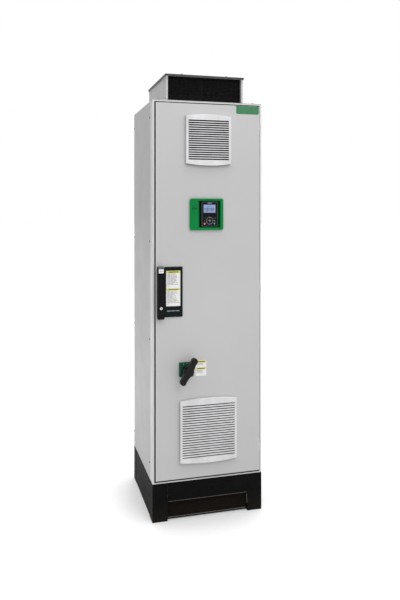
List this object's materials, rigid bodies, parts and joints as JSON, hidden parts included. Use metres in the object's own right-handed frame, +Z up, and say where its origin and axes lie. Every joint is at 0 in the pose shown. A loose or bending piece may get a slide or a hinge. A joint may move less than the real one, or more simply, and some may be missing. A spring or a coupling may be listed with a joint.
{
  "type": "variable frequency drive cabinet",
  "caption": "Floor-standing variable frequency drive: light grey cabinet on a black plinth, with a hinged door, filter grilles, operator terminal, disconnector handle and roof outlet hood.",
  "frame": {"origin": "on the floor, under the middle of the whole object's box; the middle of the cabinet's footprint lies 43 mm behind it, at +Y", "axes": "+Z up, the object's longest extent; -Y towards the person in front of the door; +X to that person's right, the side of the door hinges"},
  "size_m": [0.6, 0.686, 2.35],
  "materials": {
    "frame_paint": "fine textured powder coat, light grey",
    "light_paint": "fine textured powder coat, light grey",
    "door_paint": "fine textured powder coat, light grey",
    "lid_paint": "fine textured powder coat, mid grey",
    "black_paint": "matt textured powder coat, black",
    "inlet_screen": "matt dark mesh",
    "outlet_screen": "matt black perforated sheet",
    "galvanised_steel": "zinc-coated sheet with spangle",
    "steel": "bright zinc-plated steel",
    "module_steel": "satin aluminium and zinc sheet",
    "grey_plastic": "moulded grey plastic",
    "fuse_ceramic": "glazed white ceramic",
    "gasket_rubber": "foamed rubber",
    "slate_plastic": "dark slate moulded plastic",
    "black_plastic": "matt black moulded plastic",
    "grille_plastic": "off-white moulded plastic",
    "housing_plastic": "dark grey moulded plastic",
    "green_plastic": "green moulded plastic",
    "terminal_plastic": "dark moulded plastic",
    "rotary_plate_plastic": "dark green-black moulded plastic",
    "rotary_grip_plastic": "black moulded plastic, slightly glossy",
    "lock_chrome": "plated brass",
    "key_black": "soft black key",
    "key_red": "soft red key",
    "key_green": "soft green key",
    "display_glass": "backlit display behind a clear window",
    "cap_plastic": "grey moulded plastic",
    "label_film": "printed film",
    "nameplate": "printed green film, left blank",
    "filter_mat": "white fibre mat",
    "screw_steel": "zinc-plated screw"
  },
  "bodies": {
    "cabinet": {"enclosure_frame": "frame_paint", "roof_plate": "light_paint", "floor_plate": "galvanised_steel", "left_side_panel": "light_paint", "right_side_panel": "light_paint", "rear_panel": "light_paint", "plinth_corner_front_left": "black_paint", "plinth_corner_front_right": "black_paint", "plinth_corner_rear_left": "black_paint", "plinth_corner_rear_right": "black_paint", "plinth_front_panel": "black_paint", "plinth_inlet_screen": "inlet_screen", "plinth_left_panel": "black_paint", "plinth_right_panel": "black_paint", "plinth_rear_panel": "black_paint", "hood_body": "light_paint", "hood_lid": "lid_paint", "hood_screen": "outlet_screen", "hinge_bracket_top": "steel", "hinge_bracket_middle": "steel", "hinge_bracket_bottom": "steel", "mounting_plate": "galvanised_steel", "drive_module": "module_steel", "drive_cover": "grey_plastic", "main_switch": "grey_plastic", "fuse_block": "fuse_ceramic", "motor_terminals": "grey_plastic"},
    "door": {"door_panel": "door_paint", "door_stiffener": "galvanised_steel", "door_gasket": "gasket_rubber", "hinge_leaf_top": "steel", "hinge_leaf_middle": "steel", "hinge_leaf_bottom": "steel", "handle_escutcheon": "slate_plastic", "upper_filter_housing": "housing_plastic", "lower_filter_housing": "housing_plastic", "terminal_frame": "green_plastic", "operator_terminal": "terminal_plastic", "rotary_plate": "rotary_plate_plastic"},
    "handle_hub": {"handle_hub": "black_plastic"},
    "handle_lever": {"handle_lever": "black_plastic"},
    "lock_barrel": {"lock_barrel": "lock_chrome"},
    "upper_lock_rod": {"upper_lock_rod": "galvanised_steel"},
    "lower_lock_rod": {"lower_lock_rod": "galvanised_steel"},
    "rotary_handle": {"rotary_handle": "rotary_grip_plastic"},
    "switch_shaft": {"switch_shaft": "steel"},
    "upper_grille_cover": {"upper_grille_cover": "grille_plastic"},
    "lower_grille_cover": {"lower_grille_cover": "grille_plastic"},
    "cooling_fan_rotor": {"cooling_fan_rotor": "black_plastic"},
    "key_f1": {"key_f1": "key_black"},
    "key_f2": {"key_f2": "key_black"},
    "key_f3": {"key_f3": "key_black"},
    "key_f4": {"key_f4": "key_black"},
    "key_escape": {"key_escape": "key_black"},
    "key_home": {"key_home": "key_black"},
    "key_local_remote": {"key_local_remote": "key_black"},
    "key_information": {"key_information": "key_black"},
    "key_stop": {"key_stop": "key_red"},
    "key_run": {"key_run": "key_green"},
    "key_confirm": {"key_confirm": "key_black"}
  },
  "joints": [
    {"name": "door_hinge", "type": "hinge", "parent": "cabinet", "child": "door", "pos_m": [0.2873, -0.263, 1.199], "axis": [0, 0, 1], "range_deg": [0, 120]},
    {"name": "handle_turn", "type": "hinge", "parent": "door", "child": "handle_hub", "pos_m": [-0.2625, -0.287, 1.314], "axis": [0, -1, 0], "range_deg": [0, 90]},
    {"name": "handle_lift", "type": "hinge", "parent": "handle_hub", "child": "handle_lever", "pos_m": [-0.2625, -0.296, 1.296], "axis": [-1, 0, 0], "range_deg": [0, 30]},
    {"name": "lock_turn", "type": "hinge", "parent": "handle_lever", "child": "lock_barrel", "pos_m": [-0.2625, -0.287, 1.118], "axis": [0, 1, 0], "range_deg": [0, 90]},
    {"name": "upper_rod_slide", "type": "slide", "parent": "door", "child": "upper_lock_rod", "axis": [0, 0, -1], "range_m": [0, 0.012]},
    {"name": "lower_rod_slide", "type": "slide", "parent": "door", "child": "lower_lock_rod", "axis": [0, 0, 1], "range_m": [0, 0.012]},
    {"name": "rotary_handle_turn", "type": "hinge", "parent": "door", "child": "rotary_handle", "pos_m": [-0.1245, -0.307, 0.791], "axis": [0, 1, 0], "range_deg": [-30, 60]},
    {"name": "switch_shaft_turn", "type": "hinge", "parent": "cabinet", "child": "switch_shaft", "pos_m": [-0.1245, 0.043, 0.791], "axis": [0, 1, 0], "range_deg": [-30, 60]},
    {"name": "upper_cover_hinge", "type": "hinge", "parent": "door", "child": "upper_grille_cover", "pos_m": [-0.005, -0.2726, 1.857], "axis": [1, 0, 0], "range_deg": [0, 80]},
    {"name": "lower_cover_hinge", "type": "hinge", "parent": "door", "child": "lower_grille_cover", "pos_m": [-0.005, -0.2726, 0.295], "axis": [1, 0, 0], "range_deg": [0, 80]},
    {"name": "fan_spin", "type": "hinge", "parent": "cabinet", "child": "cooling_fan_rotor", "pos_m": [0, 0.176, 1.03], "axis": [0, 0, 1], "continuous": true},
    {"name": "key_f1_press", "type": "slide", "parent": "door", "child": "key_f1", "axis": [0, 1, 0], "range_m": [0, 0.001], "stiffness_N_per_m": 600},
    {"name": "key_f2_press", "type": "slide", "parent": "door", "child": "key_f2", "axis": [0, 1, 0], "range_m": [0, 0.001], "stiffness_N_per_m": 600},
    {"name": "key_f3_press", "type": "slide", "parent": "door", "child": "key_f3", "axis": [0, 1, 0], "range_m": [0, 0.001], "stiffness_N_per_m": 600},
    {"name": "key_f4_press", "type": "slide", "parent": "door", "child": "key_f4", "axis": [0, 1, 0], "range_m": [0, 0.001], "stiffness_N_per_m": 600},
    {"name": "key_escape_press", "type": "slide", "parent": "door", "child": "key_escape", "axis": [0, 1, 0], "range_m": [0, 0.001], "stiffness_N_per_m": 600},
    {"name": "key_home_press", "type": "slide", "parent": "door", "child": "key_home", "axis": [0, 1, 0], "range_m": [0, 0.001], "stiffness_N_per_m": 600},
    {"name": "key_local_remote_press", "type": "slide", "parent": "door", "child": "key_local_remote", "axis": [0, 1, 0], "range_m": [0, 0.001], "stiffness_N_per_m": 600},
    {"name": "key_information_press", "type": "slide", "parent": "door", "child": "key_information", "axis": [0, 1, 0], "range_m": [0, 0.001], "stiffness_N_per_m": 600},
    {"name": "key_stop_press", "type": "slide", "parent": "door", "child": "key_stop", "axis": [0, 1, 0], "range_m": [0, 0.001], "stiffness_N_per_m": 600},
    {"name": "key_run_press", "type": "slide", "parent": "door", "child": "key_run", "axis": [0, 1, 0], "range_m": [0, 0.001], "stiffness_N_per_m": 600},
    {"name": "key_confirm_press", "type": "slide", "parent": "door", "child": "key_confirm", "axis": [0, 1, 0], "range_m": [0, 0.001], "stiffness_N_per_m": 600}
  ],
  "couplings": [
    {"joint": "upper_rod_slide", "follows": "handle_turn", "m_per_rad": 0.00725},
    {"joint": "lower_rod_slide", "follows": "handle_turn", "m_per_rad": 0.00725},
    {"joint": "switch_shaft_turn", "follows": "rotary_handle_turn", "ratio": 1}
  ]
}
